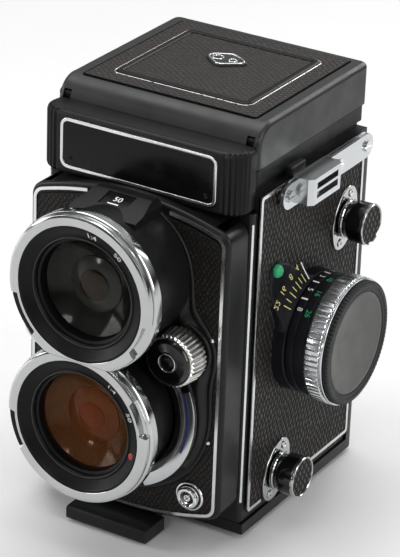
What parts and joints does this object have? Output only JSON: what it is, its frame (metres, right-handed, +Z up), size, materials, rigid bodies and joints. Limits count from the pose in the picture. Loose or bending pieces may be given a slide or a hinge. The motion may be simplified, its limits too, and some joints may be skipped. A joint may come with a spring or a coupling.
{
  "type": "twin lens reflex camera",
  "caption": "Box-shaped twin lens reflex camera: stacked lenses on a sliding front, folding top hood, side focusing knob, winding crank and a hinged back.",
  "frame": {"origin": "mouth of the tripod socket, on the plane that the feet stand on", "axes": "+X to the focusing knob (the user's right facing the lenses), +Y to the back, +Z up; the lenses look along -Y"},
  "size_m": [0.1108, 0.1188, 0.147],
  "materials": {
    "satin_black": "satin black paint on die-cast aluminium",
    "leather": "dark embossed leather with a fine scaled grain",
    "lid_panel": "raised panel, black frame round dark leather",
    "silver_trim": "bright drawn trim",
    "satin_chrome": "satin chromed steel",
    "polished_chrome": "polished chrome",
    "nameplate": "black plate with a silver border line",
    "barrel_black": "black anodised, semi matt",
    "dial_grey": "dark grey, satin",
    "knob_black": "gloss black",
    "viewing_glass": "coated glass, neutral dark",
    "taking_glass": "coated glass, amber reflections",
    "screen_glass": "ground glass",
    "mirror": "front-silvered mirror",
    "blade_steel": "dark spring steel",
    "leaf_black": "matt black sheet",
    "brass": "machined brass",
    "spool_plastic": "black moulded",
    "socket_steel": "turned steel"
  },
  "bodies": {
    "camera_body": {"body_casting": "satin_black", "side_covering_left": "leather", "side_covering_right": "leather", "side_trims": "silver_trim", "viewing_mirror": "mirror", "focusing_screen": "screen_glass", "film_rollers": "blade_steel", "upper_knob_plate": "polished_chrome", "lower_knob_plate": "polished_chrome", "focus_scale_collar": "barrel_black", "hood_base": "satin_black", "hinge_pins": "blade_steel", "nameplate_housing": "satin_black", "nameplate": "nameplate", "strap_lug_left": "satin_chrome", "strap_lug_right": "satin_chrome", "lug_screws": "silver_trim"},
    "front_standard": {"standard_shell": "satin_black", "front_trim": "silver_trim", "front_covering": "leather", "shutter_housing": "satin_black", "shutter_scale_ring": "silver_trim", "viewing_housing": "satin_black", "viewing_bayonet": "polished_chrome", "taking_bayonet": "polished_chrome", "viewing_barrel": "barrel_black", "taking_barrel": "barrel_black", "viewing_lens_front": "viewing_glass", "taking_lens_front": "taking_glass", "viewing_lens_rear": "viewing_glass", "taking_lens_rear": "taking_glass", "shutter_blades": "blade_steel", "iris_blades": "blade_steel", "sync_socket": "polished_chrome", "release_collar": "polished_chrome"},
    "aperture_wheel": {"aperture_wheel": "polished_chrome"},
    "shutter_speed_wheel": {"shutter_speed_wheel": "polished_chrome"},
    "release_button": {"release_button": "polished_chrome"},
    "focus_knob": {"focus_barrel": "barrel_black", "focus_grip_ring": "polished_chrome"},
    "film_dial": {"film_dial": "dial_grey"},
    "upper_knob": {"upper_knob": "knob_black"},
    "lower_knob": {"lower_knob": "knob_black"},
    "crank": {"crank": "knob_black", "crank_gear": "brass"},
    "idler_gear": {"idler_gear": "brass"},
    "take_up_spool": {"take_up_spool": "spool_plastic", "spool_gear": "brass"},
    "back": {"back_cover": "satin_black", "pressure_plate": "blade_steel", "tripod_socket": "socket_steel"},
    "back_latch": {"back_latch": "satin_black"},
    "hood_lid": {"hood_lid": "satin_black", "lid_covering": "leather", "lid_panel": "lid_panel"},
    "magnifier": {"magnifier_frame": "leaf_black", "magnifier_lens": "viewing_glass"},
    "hood_wall_left": {"hood_wall_left": "leaf_black"},
    "hood_wall_right": {"hood_wall_right": "leaf_black"},
    "hood_wall_rear": {"hood_wall_rear": "leaf_black"}
  },
  "joints": [
    {"name": "focus_turn", "type": "hinge", "parent": "camera_body", "child": "focus_knob", "pos_m": [0.052, -0.0011, 0.0647], "axis": [1, 0, 0], "range_deg": [0, 300.1]},
    {"name": "standard_slide", "type": "slide", "parent": "camera_body", "child": "front_standard", "axis": [0, -1, 0], "range_m": [0, 0.005]},
    {"name": "film_dial_turn", "type": "hinge", "parent": "focus_knob", "child": "film_dial", "pos_m": [0.057, -0.0011, 0.0647], "axis": [1, 0, 0], "continuous": true},
    {"name": "aperture_turn", "type": "hinge", "parent": "front_standard", "child": "aperture_wheel", "pos_m": [0.0235, -0.056, 0.072], "axis": [0, -1, 0], "range_deg": [0, 220]},
    {"name": "shutter_speed_turn", "type": "hinge", "parent": "front_standard", "child": "shutter_speed_wheel", "pos_m": [-0.0235, -0.056, 0.072], "axis": [0, -1, 0], "range_deg": [0, 250]},
    {"name": "release_press", "type": "slide", "parent": "front_standard", "child": "release_button", "axis": [0, 1, 0], "range_m": [0, 0.0022], "stiffness_N_per_m": 500, "springref_m": -0.001},
    {"name": "upper_knob_pull", "type": "slide", "parent": "camera_body", "child": "upper_knob", "axis": [1, 0, 0], "range_m": [0, 0.008]},
    {"name": "lower_knob_pull", "type": "slide", "parent": "camera_body", "child": "lower_knob", "axis": [1, 0, 0], "range_m": [0, 0.008]},
    {"name": "crank_turn", "type": "hinge", "parent": "camera_body", "child": "crank", "pos_m": [-0.042, -0.001, 0.065], "axis": [-1, 0, 0], "range_deg": [0, 235]},
    {"name": "idler_turn", "type": "hinge", "parent": "camera_body", "child": "idler_gear", "pos_m": [-0.0356, 0.01075, 0.08065], "axis": [-1, 0, 0], "range_deg": [-226, 0]},
    {"name": "spool_turn", "type": "hinge", "parent": "camera_body", "child": "take_up_spool", "pos_m": [0, 0.0225, 0.0963], "axis": [-1, 0, 0], "range_deg": [0, 235.1]},
    {"name": "back_hinge", "type": "hinge", "parent": "camera_body", "child": "back", "pos_m": [0, 0.0398, 0.1182], "axis": [1, 0, 0], "range_deg": [0, 105]},
    {"name": "latch_hinge", "type": "hinge", "parent": "back", "child": "back_latch", "pos_m": [0, -0.0386, 0.0039], "axis": [1, 0, 0], "range_deg": [0, 70]},
    {"name": "lid_hinge", "type": "hinge", "parent": "camera_body", "child": "hood_lid", "pos_m": [0, -0.0318, 0.141], "axis": [1, 0, 0], "range_deg": [0, 90]},
    {"name": "magnifier_hinge", "type": "hinge", "parent": "hood_lid", "child": "magnifier", "pos_m": [0, 0.031, 0.1438], "axis": [1, 0, 0], "range_deg": [0, 90.1]},
    {"name": "left_wall_hinge", "type": "hinge", "parent": "camera_body", "child": "hood_wall_left", "pos_m": [-0.0334, 0.005, 0.133], "axis": [0, -1, 0], "range_deg": [0, 90.1]},
    {"name": "right_wall_hinge", "type": "hinge", "parent": "camera_body", "child": "hood_wall_right", "pos_m": [0.0334, 0.005, 0.133], "axis": [0, 1, 0], "range_deg": [0, 90.1]},
    {"name": "rear_wall_hinge", "type": "hinge", "parent": "camera_body", "child": "hood_wall_rear", "pos_m": [0, 0.0356, 0.1356], "axis": [-1, 0, 0], "range_deg": [0, 90.1]}
  ],
  "couplings": [
    {"joint": "focus_turn", "follows": "standard_slide", "rad_per_m": 1047.2},
    {"joint": "idler_turn", "follows": "crank_turn", "ratio": -0.96},
    {"joint": "spool_turn", "follows": "crank_turn", "ratio": 1},
    {"joint": "magnifier_hinge", "follows": "lid_hinge", "ratio": 1},
    {"joint": "left_wall_hinge", "follows": "lid_hinge", "ratio": 1},
    {"joint": "right_wall_hinge", "follows": "lid_hinge", "ratio": 1},
    {"joint": "rear_wall_hinge", "follows": "lid_hinge", "ratio": 1}
  ]
}
